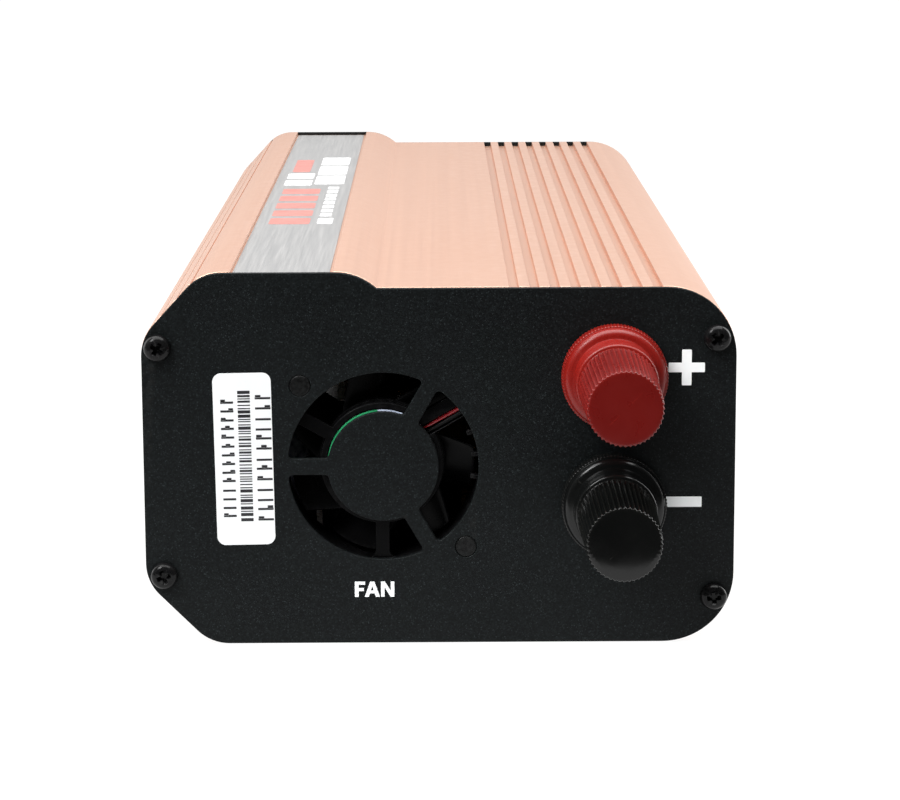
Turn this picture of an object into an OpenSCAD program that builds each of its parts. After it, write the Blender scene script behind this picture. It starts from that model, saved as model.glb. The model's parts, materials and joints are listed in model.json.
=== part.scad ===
// Power inverter: battery terminals and fan at the front, mains outlets at the back.
// Frame: +X right, -Y the battery end, +Z up, origin under the middle of the bounding box.
// Millimetres throughout.

/* [Case] */
// Width of the extruded case
case_w = 115; // [112:0.5:130]
// Height of the flat deck
deck_h = 70.4; // [68.5:0.1:72]
// Height of the raised band on the left of the deck
hump_h = 73.5; // [72.5:0.1:75]
// Length of the two extruded halves
case_l = 285; // [280:1:320]
// Wall of the extrusions
wall = 2.4; // [2.2:0.1:3]
// Radius of the lower right corner
bottom_r = 14; // [12:0.5:15]
// Radius of the right shoulder
shoulder_r = 13.5; // [12:0.5:14]
// Leg of the lower left chamfer
chamfer = 12.5; // [11:0.5:13]
// Width of the sloping left shoulder
slope_w = 11.7; // [11:0.1:13]
// Rise of the sloping left shoulder
slope_h = 12.75; // [12:0.25:14]
// Rounding at both ends of each slope
slope_r = 9; // [6:0.5:9]
// Radius of the raised band's right flank
hump_r = 12; // [10:0.5:13]
// Height at which the two halves meet
seam_h = 38; // [37:0.5:40]

/* [Deck] */
// Number of grooves along the deck
groove_n = 8; // [4:1:8]
// Pitch of the grooves
groove_pitch = 3.97; // [3.6:0.01:4]
// Width of a groove
groove_w = 1.85; // [1:0.05:2.2]
// Depth of a groove
groove_d = 1.2; // [0.6:0.1:1.4]
// Width of the label channel in the raised band
channel_w = 19.8; // [16:0.1:19.8]
// Depth of the label channel
channel_d = 0.9; // [0.5:0.1:1.1]

/* [End panels] */
// Thickness of each end panel
panel_t = 1.2; // [1:0.1:2]
// Step between the case outline and the panel outline
panel_step = 0.1; // [0.1:0.05:0.5]
// Diameter of a panel screw head
screw_head_d = 5.4; // [5:0.1:6]

/* [Fan] */
// Side of the fan frame
fan_side = 40; // [40:1:40]
// Depth of the fan
fan_t = 10; // [10:0.5:12]
// Spacing of the fan's mounting holes
fan_pitch = 32; // [32:1:32]
// Grille centre, across
grille_x = -10.9; // [-12:0.1:-9]
// Grille centre, above the base
grille_z = 35.4; // [34:0.1:37]
// Outer radius of the panel's fan opening
grille_r = 18.5; // [17:0.1:19]
// Radius of the panel's centre disc
disc_r = 10.8; // [9:0.1:12]
// Width of the three webs that hold the disc
web_w = 3.25; // [2.5:0.05:4]

/* [Terminals] */
// Terminal centres, across
post_x = 33.8; // [32:0.1:35]
// Positive terminal, above the base
positive_z = 53.1; // [52:0.1:54]
// Negative terminal, above the base
negative_z = 27.85; // [26:0.05:29]
// Thread diameter of the studs
stud_d = 8; // [6:0.5:8]
// Knob reach in front of the panel
knob_reach = 34.5; // [30:0.5:38]
// Knob diameter at its foot
knob_foot_d = 15.2; // [14:0.1:15.4]
// Knob diameter at its face
knob_face_d = 14.3; // [13.6:0.1:15]
// Ridges around a knob
knob_ridges = 48; // [24:1:60]
// Diameter of the insulating collar
collar_d = 20.6; // [19:0.1:22]

/* [Mains end] */
// Reach of the outlets behind the rear panel
outlet_reach = 4; // [3.9:0.1:6]
// Distance between the two outlets
outlet_pitch = 34; // [33:0.5:36]
// Tilt of the rocker to each side of level
rocker_tilt = 10; // [6:1:12]

/* [Hidden] */
$fn = 64;
half_w = case_w / 2;
total_l = knob_reach + case_l + 2 * panel_t + outlet_reach;
front_y = knob_reach - total_l / 2;
in_y = front_y + panel_t;
out_y = in_y + case_l;
rear_y = out_y + panel_t;
hump_x = -20;
slope_a = atan2(slope_h, slope_w);
groove_right = 15.4;
line_w = 0.7;
line_d = 0.5;
// Screw places: left top, right top, left bottom, right bottom
case_screws = [[-54.2, 58.9], [53.6, 60.4], [-53.8, 13.9], [53.5, 9.25]];
boss_r = 3;
pilot_r = 1.35;
screw_r = 1.3;
screw_l = 10;
head_h = 2;
tongue_t = 1.1;
tongue_h = 2.5;
rail_x = 45.6;
board_z = 6.8;
board_t = 1.6;
board_top = board_z + board_t;
board_half = rail_x - 0.2;
board_gap = 4;
// Fan, which sits a little up and to the left of the grille on its studs
fan_x = grille_x - 0.25;
fan_z = grille_z + 0.45;
fan_bore_r = 19;
fan_hole_r = 2.15;
fan_hub_r = 11.9;
fan_recess_r = fan_hub_r - 1.2;
fan_strut_t = 2;
fan_stud_r = 1.5;
fan_shaft_r = 1;
fan_clear = 0.03;
arm_a = 30;
arm_low = -0.1;
arm_high = 4.8;
channel_low = 0.15;
channel_high = 2.4;
red_off = 1.8;
black_off = 0.75;
lead_y = 1.05;
fan_back = in_y + fan_t;
rotor_y = in_y + fan_strut_t + 0.6;
rotor_l = fan_t - fan_strut_t - 1;
rotor_hub_r = 12.2;
rotor_tip_r = 18.4;
blade_n = 7;
// Terminals, all measured from the panel face along the stud
stud_r = stud_d / 2;
thread_clear = 0.05;
collar_r = collar_d / 2;
seat_r = 8;
seat_p = 10.6;
washer_p = 10.7;
washer_t = 0.8;
knob_p = washer_p + washer_t;
stud_p = 25;
insert_r = 5.6;
insert_l = 13;
bush_l = 3;
nut_l = 4;
nut_r = 7.5;
lug_t = 2;
lug_y = front_y + panel_t + bush_l + nut_l;
lug_turn = 50;
lead_r = 2.9;
stud_tail = panel_t + bush_l + 2 * nut_l + lug_t + 3;
// Power stage
spreader_x = 46.1;
spreader_l = 124;
spreader_z = 18;
spreader_h = 18;
pad_t = 0.4;
device_n = 8;
device_pitch = 14;
device_y = in_y + 66;
device_w = 10.2;
device_z = 20;
transformer_n = 3;
transformer_pitch = 45;
transformer_y = in_y + 78;
core_w = 36;
core_t = 14;
core_h = 34;
core_leg = 11;
core_rim = 7;
core_z = board_top + 3;
// Mains end
outlet_x = -33;
outlet_z = 40;
outlet_w = 30;
outlet_h = 38;
outlet_deep = 20;
switch_x = 38;
switch_z = 48;
usb_z = 25.5;
led_z = 33.5;
led_r = 2.5;

// Place on a terminal lug's centre line, dist below the stud, the lug turned by angle
function lug_point(z, angle, dist) =
    [post_x - dist * sin(angle), lug_y + 3, z - dist * cos(angle)];

// Place on the fan's wide arm, r out from the fan's centre and off to one side
function arm_point(r, off, y) = [
    fan_x + r * cos(arm_a) - off * sin(arm_a),
    in_y + y,
    fan_z + r * sin(arm_a) + off * cos(arm_a)
];

// Routes of the inner leads, as points that a smooth curve passes through
positive_route = [
    lug_point(positive_z, lug_turn, 9.3), lug_point(positive_z, lug_turn, 11.7),
    lug_point(positive_z, lug_turn, 14.1), lug_point(positive_z, lug_turn, 15.5),
    [20, lug_y + 3, 36], [20, lug_y + 3.5, 27], [20, lug_y + 4, 18],
    [20, lug_y + 4, 13], [20, lug_y + 4, board_top + 0.05]
];
negative_route = [
    lug_point(negative_z, 0, 9.3), lug_point(negative_z, 0, 12),
    lug_point(negative_z, 0, 15), lug_point(negative_z, 0, negative_z - board_top - 0.05)
];
fan_red_route = [
    for (r = [9, 13, 17, 21, 24]) arm_point(r, red_off, lead_y),
    [10.9, in_y + 3.5, 49.3],
    [12, in_y + 7, 45],
    [12, in_y + 12, 38], [11, in_y + 16, 24], [11, in_y + 17, 14],
    [11, in_y + 17, board_top + 0.05]
];
fan_black_route = [
    for (r = [9, 13, 17, 21, 24]) arm_point(r, black_off, lead_y),
    [12.2, in_y + 3.2, 48],
    [13.6, in_y + 7, 43], [13.6, in_y + 12, 36], [12.8, in_y + 16, 24],
    [12.8, in_y + 17, 14],
    [12.8, in_y + 17, board_top + 0.05]
];

// ---- Helpers ----

// Extrudes an X-Z drawing along +Y
module along_y(y, l) {
    translate([0, y + l, 0]) rotate([90, 0, 0]) linear_extrude(l) children();
}

// Cylinder along +Y
module rod_y(x, y, z, r, l) {
    translate([x, y, z]) rotate([-90, 0, 0]) cylinder(r = r, h = l);
}

// Turned piece on the front panel: the drawing is [radius, distance in front of it]
module turned_front(x, z) {
    translate([x, front_y, z]) rotate([90, 0, 0]) rotate_extrude() children();
}

// Box given by its middle in X, its start in Y and its foot in Z
module block(x, y, z, size) {
    translate([x - size[0] / 2, y, z]) cube(size);
}

// Rectangle with round corners, centred
module round_rect(w, h, r) {
    square([w - 2 * r, h], center = true);
    square([w, h - 2 * r], center = true);
    for (sx = [-1, 1], sz = [-1, 1])
        translate([sx * (w / 2 - r), sz * (h / 2 - r)]) circle(r = r);
}

function unit(v) = v / norm(v);

// Catmull-Rom point between b and c
function spline_point(a, b, c, d, t) =
    0.5 * (2 * b + (c - a) * t + (2 * a - 5 * b + 4 * c - d) * t * t
        + (3 * b - a - 3 * c + d) * t * t * t);

// Smooth run of points through a route
function smooth(p, steps) = [
    for (i = [0 : len(p) - 2], k = [0 : steps - 1])
        spline_point(p[max(i - 1, 0)], p[i], p[i + 1], p[min(i + 2, len(p) - 1)], k / steps),
    p[len(p) - 1]
];

function run_dir(p, i) = unit(p[min(i + 1, len(p) - 1)] - p[max(i - 1, 0)]);

// Round lead along a run of points; side is a direction that the run never takes
module lead(route, r, side = [1, 0, 0], sides = 8, steps = 4) {
    p = smooth(route, steps);
    n = len(p);
    rings = [
        for (i = [0 : n - 1])
            let (d = run_dir(p, i), u = unit(cross(d, side)), v = cross(d, u))
                for (k = [0 : sides - 1])
                    p[i] + r * (cos(360 * k / sides) * u + sin(360 * k / sides) * v)
    ];
    walls = [
        for (i = [0 : n - 2], k = [0 : sides - 1])
            let (j = (k + 1) % sides)
                [i * sides + k, i * sides + j, (i + 1) * sides + j, (i + 1) * sides + k]
    ];
    first = [for (k = [sides - 1 : -1 : 0]) k];
    last = [for (k = [0 : sides - 1]) (n - 1) * sides + k];
    polyhedron(rings, concat(walls, [first, last]));
}

// ---- Case outline ----

// Corners as [centre x, centre z, radius, start angle, end angle], anticlockwise
case_arcs = [
    [half_w - bottom_r, bottom_r, bottom_r, -90, 0],
    [half_w - shoulder_r, deck_h - shoulder_r, shoulder_r, 0, 90],
    [hump_x, hump_h - hump_r, hump_r, 90, 90],
    [slope_w - half_w + slope_r * tan(slope_a / 2), hump_h - slope_r, slope_r,
        90, 90 + slope_a],
    [slope_r - half_w, hump_h - slope_h - slope_r * tan(45 - slope_a / 2), slope_r,
        90 + slope_a, 180],
    [slope_r - half_w, chamfer + slope_r * tan(22.5), slope_r, 180, 225],
    [chamfer - half_w + slope_r * tan(22.5), slope_r, slope_r, 225, 270]
];

function arc_point(a, angle, inset) =
    [a[0] + (a[2] - inset) * cos(angle), a[1] + (a[2] - inset) * sin(angle)];

// Foot of the raised band's flank, where it meets the deck
function flank_foot(inset) =
    let (up = deck_h - inset - (hump_h - hump_r), r = hump_r - inset)
        [hump_x + sqrt(r * r - up * up), deck_h - inset];

// Outline of the case, moved inwards by inset
module case_outline(inset) {
    polygon([
        for (i = [0 : len(case_arcs) - 1])
            for (end = [3, 4])
                i == 2 && end == 3 ? flank_foot(inset)
                    : arc_point(case_arcs[i], case_arcs[i][end], inset)
    ]);
    for (a = case_arcs)
        translate([a[0], a[1]]) circle(r = a[2] - inset);
}

// ---- Case halves ----

module case_section() {
    difference() {
        union() {
            difference() {
                case_outline(0);
                case_outline(wall);
            }
            intersection() {
                case_outline(0);
                union() {
                    for (s = case_screws) translate(s) circle(r = boss_r);
                    board_rails();
                }
            }
        }
        for (s = case_screws) translate(s) circle(r = pilot_r);
        deck_grooves();
        slope_grooves();
        translate([-30.3, hump_h - channel_d + 1])
            square([channel_w, 2], center = true);
    }
}

// Two slotted rails on the floor that hold the main board
module board_rails() {
    for (side = [-1, 1]) {
        translate([side * (rail_x + 0.8), wall + 4]) square([1.6, 8.6], center = true);
        for (z = [board_z - 0.95, board_top + 0.95])
            translate([side * rail_x, z]) square([2, 1.7], center = true);
    }
}

module deck_grooves() {
    for (i = [0 : groove_n - 1])
        translate([groove_right + i * groove_pitch - groove_w, deck_h - groove_d])
            square([groove_w, 2 * groove_d]);
}

// Three fine lines along the left shoulder
module slope_grooves() {
    for (s = [6.1, 10.7])
        translate([s * cos(slope_a) - half_w, hump_h - slope_h + s * sin(slope_a)])
            rotate(slope_a) square([line_w, 2 * line_d], center = true);
    translate([case_arcs[3][0], case_arcs[3][1]])
        rotate(slope_a - 8) translate([0, slope_r]) square([line_w, 2 * line_d], center = true);
}

module top_shell() {
    color("#d9a184")
        along_y(in_y, case_l)
            difference() {
                case_section();
                translate([-half_w - 1, -1]) square([case_w + 2, seam_h + 1]);
                for (side = [-1, 1])
                    translate([side * (half_w - wall + tongue_t / 2), seam_h])
                        square([tongue_t + 0.2, 2 * tongue_h + 0.2], center = true);
            }
}

module bottom_shell() {
    color("#d9a184")
        along_y(in_y, case_l) {
            intersection() {
                case_section();
                translate([-half_w - 1, -1]) square([case_w + 2, seam_h + 1]);
            }
            for (side = [-1, 1])
                translate([side * (half_w - wall + tongue_t / 2), seam_h + tongue_h / 2 - 0.5])
                    square([tongue_t, tongue_h + 1], center = true);
        }
}

// ---- End panels ----

web_round = 0.8;
round_out = [sqrt(pow(grille_r - web_round, 2) - pow(web_w / 2 + web_round, 2)),
    web_w / 2 + web_round];
round_in = [sqrt(pow(disc_r + web_round, 2) - pow(web_w / 2 + web_round, 2)),
    web_w / 2 + web_round];
angle_out = atan2(round_out[1], round_out[0]);
angle_in = atan2(round_in[1], round_in[0]);

// Round corner between two directions
function bend(c, from, to, n = 5) = [
    for (k = [0 : n])
        let (a = from + (to - from) * k / n)
            [c[0] + web_round * cos(a), c[1] + web_round * sin(a)]
];

function mirror_third(p) = [
    p[0] * cos(120) + p[1] * sin(120),
    p[0] * sin(120) - p[1] * cos(120)
];

// One edge of a grille slot, beside the web at angle 0
slot_edge = concat(bend(round_in, 180 + angle_in, 270), bend(round_out, 270, 360 + angle_out));

// One of the three grille slots, between the webs at 0 and 120 degrees
module grille_slot() {
    polygon(concat(
        slot_edge,
        [for (a = [angle_out + 4 : 4 : 118 - angle_out]) grille_r * [cos(a), sin(a)]],
        [for (i = [len(slot_edge) - 1 : -1 : 0]) mirror_third(slot_edge[i])],
        [for (a = [118 - angle_in : -4 : angle_in + 2]) disc_r * [cos(a), sin(a)]]
    ));
}

module front_panel() {
    color("#17181b")
        difference() {
            along_y(front_y, panel_t) case_outline(panel_step);
            along_y(front_y - 1, panel_t + 2)
                translate([grille_x, grille_z])
                    for (a = [60, 180, 300]) rotate(a) grille_slot();
            for (s = case_screws) rod_y(s[0], front_y - 1, s[1], 1.7, panel_t + 2);
            for (s = [-1, 1])
                rod_y(grille_x + s * fan_pitch / 2, front_y - 1, grille_z - s * fan_pitch / 2,
                    2.1, panel_t + 2);
            for (z = [positive_z, negative_z])
                rod_y(post_x, front_y - 1, z, 6.2, panel_t + 2);
        }
}

module rear_panel() {
    color("#17181b")
        difference() {
            along_y(out_y, panel_t) case_outline(panel_step);
            for (s = case_screws) rod_y(s[0], out_y - 1, s[1], 1.7, panel_t + 2);
            for (i = [0, 1])
                block(outlet_x + i * outlet_pitch, out_y - 1, outlet_z - 16.2,
                    [24.4, panel_t + 2, 32.4]);
            block(switch_x, out_y - 1, switch_z - 9.6, [13.1, panel_t + 2, 19.2]);
            block(switch_x, out_y - 1, usb_z - 3, [13.6, panel_t + 2, 6]);
            for (dx = [-5, 5]) rod_y(switch_x + dx, out_y - 1, led_z, led_r + 0.1, panel_t + 2);
            for (i = [0 : 15]) block(-37.5 + 5 * i, out_y - 1, 6, [2.5, panel_t + 2, 11]);
            for (i = [0 : 14]) block(-35 + 5 * i, out_y - 1, 61, [2.5, panel_t + 2, 5.5]);
        }
}

// Pan head screw with a cross recess, head outwards along +Z, seat at Z = 0
module pan_screw(head_r, head, shank_r, shank) {
    difference() {
        union() {
            intersection() {
                cylinder(r = head_r, h = head);
                translate([0, 0, head - 4.4]) sphere(r = 4.4);
            }
            translate([0, 0, -shank]) cylinder(r = shank_r, h = shank + 0.5);
        }
        for (a = [0, 90])
            rotate(a) translate([-1.5, -0.4, head - 1.3]) cube([3, 0.8, 3]);
    }
}

module front_panel_screws() {
    color("#0c0c0e")
        for (i = [0 : 3])
            translate([case_screws[i][0], front_y, case_screws[i][1]])
                rotate([90, 20 + 37 * i, 0])
                    pan_screw(screw_head_d / 2, head_h, screw_r, screw_l);
}

module rear_panel_screws() {
    color("#0c0c0e")
        for (i = [0 : 3])
            translate([case_screws[i][0], rear_y, case_screws[i][1]])
                rotate([-90, 10 + 31 * i, 0])
                    pan_screw(screw_head_d / 2, head_h, screw_r, screw_l);
}

module nameplate_label() {
    color("#9fa3a6")
        translate([-30.5, 0, hump_h - channel_d])
            linear_extrude(0.15) translate([0, in_y + case_l / 2])
                round_rect(18.9, case_l - 4, 0.8);
}

module serial_label() {
    color("white")
        along_y(front_y - 0.1, 0.1)
            translate([-37.9, 37]) rotate(0.85) round_rect(11.3, 34, 1.7);
}

// ---- Fan ----

module fan_frame() {
    color("#101012")
        difference() {
            union() {
                along_y(in_y, fan_t)
                    translate([fan_x, fan_z])
                        difference() {
                            round_rect(fan_side, fan_side, 3);
                            circle(r = fan_bore_r);
                        }
                fan_spider();
            }
            for (sx = [-1, 1], sz = [-1, 1])
                rod_y(fan_x + sx * fan_pitch / 2, in_y - 1, fan_z + sz * fan_pitch / 2,
                    fan_hole_r, fan_t + 2);
            along_y(in_y - 1, 2.65)
                translate([fan_x, fan_z])
                    rotate(arm_a) translate([8, channel_low])
                        square([20, channel_high - channel_low]);
        }
}

// Plain arm of the fan, along X, with a flared foot at the rim
module fan_arm() {
    hub = fan_hub_r - 1.5;
    rim = fan_bore_r + 0.5;
    half = 1.35;
    polygon([
        [hub, -half], [rim - 2, -half], [rim - 1.2, -half - 0.35], [rim, -half - 1.5],
        [rim, half + 1.5], [rim - 1.2, half + 0.35], [rim - 2, half], [hub, half]
    ]);
}

// Hub plate, bearing tube, three arms and lead hooks; the widest arm carries the leads
module fan_spider() {
    difference() {
        union() {
            along_y(in_y + 0.2, fan_strut_t - 0.2)
                translate([fan_x, fan_z]) {
                    circle(r = fan_hub_r);
                    for (a = [150, 270]) rotate(a) fan_arm();
                    rotate(arm_a) translate([0, arm_low])
                        square([fan_bore_r + 0.3, arm_high - arm_low]);
                    for (a = [19, 5, -9])
                        rotate(a) translate([fan_bore_r - 1.6, -0.4]) square([2.1, 0.8]);
                }
            rod_y(fan_x, in_y + 1, fan_z, 3.4, fan_t - 3.4);
        }
        rod_y(fan_x, in_y + 1.2, fan_z, 2.6, fan_t);
        rod_y(fan_x, in_y, fan_z, fan_recess_r, 0.5);
    }
}

module fan_bearing() {
    color("#b8863b")
        difference() {
            rod_y(fan_x, in_y + 1.2, fan_z, 2.6, fan_t - 3.7);
            rod_y(fan_x, in_y, fan_z, fan_shaft_r + fan_clear, fan_t);
        }
}

module fan_stator() {
    color("#b5652a")
        translate([fan_x, in_y + 2.9, fan_z]) rotate([-90, 0, 0])
            difference() {
                union() {
                    cylinder(r = 5, h = 3.4);
                    for (a = [0 : 90 : 270])
                        rotate(a) {
                            translate([0, -1.6, 0]) cube([8.4, 3.2, 3.4]);
                            intersection() {
                                cylinder(r = 9.2, h = 3.4);
                                translate([7.4, -4, 0]) cube([4, 8, 3.4]);
                            }
                        }
                }
                translate([0, 0, -1]) cylinder(r = 3.45, h = 6);
            }
}

module fan_sticker() {
    color("#e8e8e4")
        rod_y(fan_x, in_y + 0.35, fan_z, fan_recess_r - 0.1, 0.15);
}

// Cup-shaped hub with seven blades, open towards the stator
module fan_rotor() {
    color("#0c0c0d")
        difference() {
            union() {
                rod_y(fan_x, rotor_y, fan_z, rotor_hub_r, rotor_l);
                translate([fan_x, rotor_y, fan_z]) rotate([-90, 0, 0]) fan_blades();
            }
            rod_y(fan_x, rotor_y - 1, fan_z, rotor_hub_r - 1, rotor_l);
            rod_y(fan_x, rotor_y - 1, fan_z, fan_shaft_r, rotor_l + 0.4);
        }
}

module fan_blades() {
    intersection() {
        difference() {
            translate([0, 0, 0.1]) cylinder(r = rotor_tip_r, h = rotor_l - 0.2);
            translate([0, 0, -1]) cylinder(r = rotor_hub_r - 0.5, h = rotor_l + 2);
        }
        for (i = [0 : blade_n - 1])
            rotate(360 * i / blade_n)
                translate([rotor_hub_r - 1, 0, rotor_l / 2])
                    rotate([52, 0, 0]) translate([0, -5.4, -0.45]) cube([9, 10.8, 0.9]);
    }
}

module fan_magnet() {
    color("#4a4a4c")
        difference() {
            rod_y(fan_x, rotor_y + 0.1, fan_z, rotor_hub_r - 1, rotor_l - 1.6);
            rod_y(fan_x, rotor_y - 1, fan_z, 9.7, rotor_l + 2);
        }
}

module fan_shaft() {
    color("#c8c8c8")
        rod_y(fan_x, in_y + 1.4, fan_z, fan_shaft_r, rotor_y + rotor_l - 0.6 - in_y - 1.4);
}

// Studs pressed flush into the panel, on one diagonal of the fan
module fan_studs() {
    color("#1b1c1f")
        for (s = [-1, 1])
            translate([grille_x + s * fan_pitch / 2, front_y, grille_z - s * fan_pitch / 2])
                rotate([-90, 0, 0]) {
                    cylinder(r = 2.05, h = panel_t);
                    cylinder(r = fan_stud_r, h = panel_t + fan_t + 4);
                }
}

module fan_nuts() {
    color("#c4c6c8")
        for (s = [-1, 1])
            difference() {
                translate([grille_x + s * fan_pitch / 2, fan_back,
                    grille_z - s * fan_pitch / 2])
                    rotate([-90, 0, 0]) cylinder(r = 3.17, h = 2.4, $fn = 6);
                rod_y(grille_x + s * fan_pitch / 2, fan_back - 1,
                    grille_z - s * fan_pitch / 2, fan_stud_r + 0.03, 5);
            }
}

module fan_lead_red() {
    color("#c01818") lead(fan_red_route, 0.5, [1, 0, -0.4]);
}

module fan_lead_black() {
    color("#111111") lead(fan_black_route, 0.5, [1, 0, -0.4]);
}

// ---- Battery terminals ----

// Insulating collar: toothed rim, domed flange and raised seat with a cup for the stud's flange
module collar(z) {
    teeth = 72;
    difference() {
        union() {
            translate([post_x, front_y, z]) rotate([90, 0, 0]) linear_extrude(3.4)
                polygon([
                    for (i = [0 : teeth - 1], k = [0, 1, 2, 3])
                        let (a = 360 * (i + k / 4) / teeth, r = collar_r - (k < 2 ? 0 : 0.22))
                            r * [cos(a), sin(a)]
                ]);
            turned_front(post_x, z)
                polygon(concat(
                    [[0, 0], [collar_r - 0.5, 0], [collar_r - 0.5, 3.4]],
                    [for (a = [0 : 15 : 90])
                        [collar_r - 2.1 + 1.6 * cos(a), 3.4 + 1.6 * sin(a)]],
                    [[seat_r, 5.2]],
                    [for (a = [0 : 15 : 90]) [seat_r - 0.9 + 0.9 * cos(a), 10.3 + 0.9 * sin(a)]],
                    [[seat_r - 1, 11.2], [seat_r - 1, seat_p - 1.1], [0, seat_p - 1.1]]
                ));
        }
        rod_y(post_x, front_y - 20, z, stud_r + 0.1, 30);
    }
}

module positive_collar() {
    color("#c81e1a") collar(positive_z);
}

module negative_collar() {
    color("#121214") collar(negative_z);
}

module terminal_bushes() {
    color("#1a1a1c")
        for (z = [positive_z, negative_z])
            difference() {
                union() {
                    rod_y(post_x, front_y + 0.05, z, 6.1, panel_t);
                    rod_y(post_x, in_y, z, 9, bush_l);
                }
                rod_y(post_x, front_y - 1, z, stud_r + 0.1, 10);
            }
}

// Brass stud with a seating flange in front of the collar
module terminal_studs() {
    color("#c9a24a")
        for (z = [positive_z, negative_z])
            union() {
                rod_y(post_x, front_y - stud_p, z, stud_r, stud_p + stud_tail);
                rod_y(post_x, front_y - seat_p, z, 6.5, 1.1);
            }
}

module terminal_nuts() {
    color("#c9a24a")
        for (z = [positive_z, negative_z], y = [in_y + bush_l, lug_y + lug_t])
            difference() {
                translate([post_x, y, z]) rotate([-90, 0, 0])
                    cylinder(r = nut_r, h = nut_l, $fn = 6);
                rod_y(post_x, y - 1, z, stud_r + 0.03, nut_l + 2);
            }
}

// Ring lug with a crimp barrel that the lead runs into
module ring_lug(z, angle) {
    translate([post_x, lug_y, z]) rotate([0, angle, 0])
        difference() {
            union() {
                rod_y(0, 0, 0, 7.4, lug_t);
                block(0, 0, -10, [8, lug_t, 8]);
                translate([0, 3, -14]) cylinder(r = lead_r + 0.8, h = 5.5);
            }
            rod_y(0, -1, 0, stud_r + 0.1, lug_t + 2);
            translate([0, 3, -15]) cylinder(r = lead_r + 0.05, h = 5.9);
        }
}

module terminal_lugs() {
    color("#d2cfc8") {
        ring_lug(positive_z, lug_turn);
        ring_lug(negative_z, 0);
    }
}

module positive_lead() {
    color("#b81414") lead(positive_route, lead_r, [0, 1, 0]);
}

module negative_lead() {
    color("#131313") lead(negative_route, lead_r);
}

// Pressure washer that stays on the foot of the knob and slides with it
module pressure_washer(z) {
    difference() {
        rod_y(post_x, front_y - knob_p, z, 6.6, washer_t);
        rod_y(post_x, front_y - knob_p - 1, z, stud_r + 0.2, washer_t + 2);
    }
}

// Threaded insert moulded into the knob
module knob_insert(z) {
    difference() {
        translate([post_x, front_y - knob_p, z]) rotate([90, 0, 0])
            cylinder(r = insert_r, h = insert_l);
        rod_y(post_x, front_y - 40, z, stud_r + thread_clear, 40);
    }
}

// Ridged knob, slightly tapered, closed at its face
module knob(z) {
    length = knob_reach - knob_p;
    foot_r = knob_foot_d / 2;
    root_r = foot_r - 0.7;
    difference() {
        translate([post_x, front_y - knob_p, z]) rotate([90, 0, 0])
            intersection() {
                linear_extrude(length)
                    polygon([
                        for (i = [0 : knob_ridges - 1], k = [0, 1, 2, 3])
                            let (a = 360 * (i + [0, 0.2, 0.4, 0.8][k]) / knob_ridges,
                                r = k < 2 ? foot_r : root_r)
                                r * [cos(a), sin(a)]
                    ]);
                cylinder(r1 = foot_r, r2 = knob_face_d / 2, h = length);
            }
        translate([post_x, front_y - knob_p + 1, z]) rotate([90, 0, 0])
            cylinder(r = insert_r, h = insert_l + 1);
        translate([post_x, front_y - knob_p + 1, z]) rotate([90, 0, 0])
            cylinder(r = stud_r + 0.3, h = insert_l + 3);
    }
}

module positive_washer() {
    color("#c9a24a") pressure_washer(positive_z);
}

module positive_insert() {
    color("#c9a24a") knob_insert(positive_z);
}

module positive_knob() {
    color("#b01c1c") knob(positive_z);
}

module negative_washer() {
    color("#c9a24a") pressure_washer(negative_z);
}

module negative_insert() {
    color("#c9a24a") knob_insert(negative_z);
}

module negative_knob() {
    color("#0d0d0f") knob(negative_z);
}

// ---- Main board and power stage ----

module main_board() {
    color("#1d5a34")
        block(0, in_y + board_gap, board_z, [2 * board_half, case_l - 2 * board_gap, board_t]);
}

module input_fuses() {
    color("#d98a1e")
        for (i = [0 : 5])
            translate([14, in_y + 24 + 7 * i, board_top]) {
                block(0, 0, 4, [19, 4.4, 11]);
                for (dx = [-6.5, 6.5]) block(dx, 1.9, 0, [5, 0.7, 4.5]);
            }
}

// Can capacitor standing on the board
module can_capacitor(x, y, r, h) {
    translate([x, y, board_top])
        difference() {
            cylinder(r = r, h = h);
            translate([0, 0, h - 0.4]) cylinder(r = r - 1.2, h = 1);
        }
}

module input_capacitors() {
    color("#23252d")
        for (x = [-34, -16], y = [27, 47]) can_capacitor(x, in_y + y, 8, 30);
}

module transformer_cores() {
    color("#3c3e42")
        for (i = [0 : transformer_n - 1])
            translate([0, transformer_y + i * transformer_pitch, core_z])
                difference() {
                    block(0, -core_t / 2, 0, [core_w, core_t, core_h]);
                    for (side = [-1, 1])
                        block(side * (core_leg + core_w - core_rim) / 4, -core_t, core_rim,
                            [(core_w - core_leg - core_rim) / 2, 2 * core_t,
                                core_h - 2 * core_rim]);
                }
}

module transformer_bobbins() {
    color("#1b1b1d")
        for (i = [0 : transformer_n - 1])
            translate([0, transformer_y + i * transformer_pitch, board_top]) {
                block(0, -13, 0, [28, 26, 2.9]);
            }
}

module transformer_windings() {
    color("#c58a2a")
        for (i = [0 : transformer_n - 1])
            translate([0, transformer_y + i * transformer_pitch, core_z + core_rim + 0.3])
                difference() {
                    linear_extrude(core_h - 2 * core_rim - 0.6) round_rect(21, 26, 4);
                    block(0, -core_t / 2 - 0.2, -1, [core_leg + 0.4, core_t + 0.4, 40]);
                }
}

// Power device in a TO-220 style case, tab towards +X
module power_device(y) {
    face = spreader_x - pad_t;
    translate([face, y, device_z]) {
        translate([-4.5, -device_w / 2, 0]) cube([4.5, device_w, 9.2]);
        difference() {
            translate([-1.3, -device_w / 2, 0]) cube([1.3, device_w, 15.6]);
            translate([-3, 0, 12.8]) rotate([0, 90, 0]) cylinder(r = 1.8, h = 5);
        }
        for (k = [-1, 0, 1])
            translate([-2.6, k * 2.54 - 0.4, board_top - device_z])
                cube([0.6, 0.8, device_z - board_top + 0.2]);
    }
}

module input_transistors() {
    color("#1a1a1c")
        for (i = [0 : device_n - 1]) power_device(device_y + i * device_pitch);
}

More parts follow.
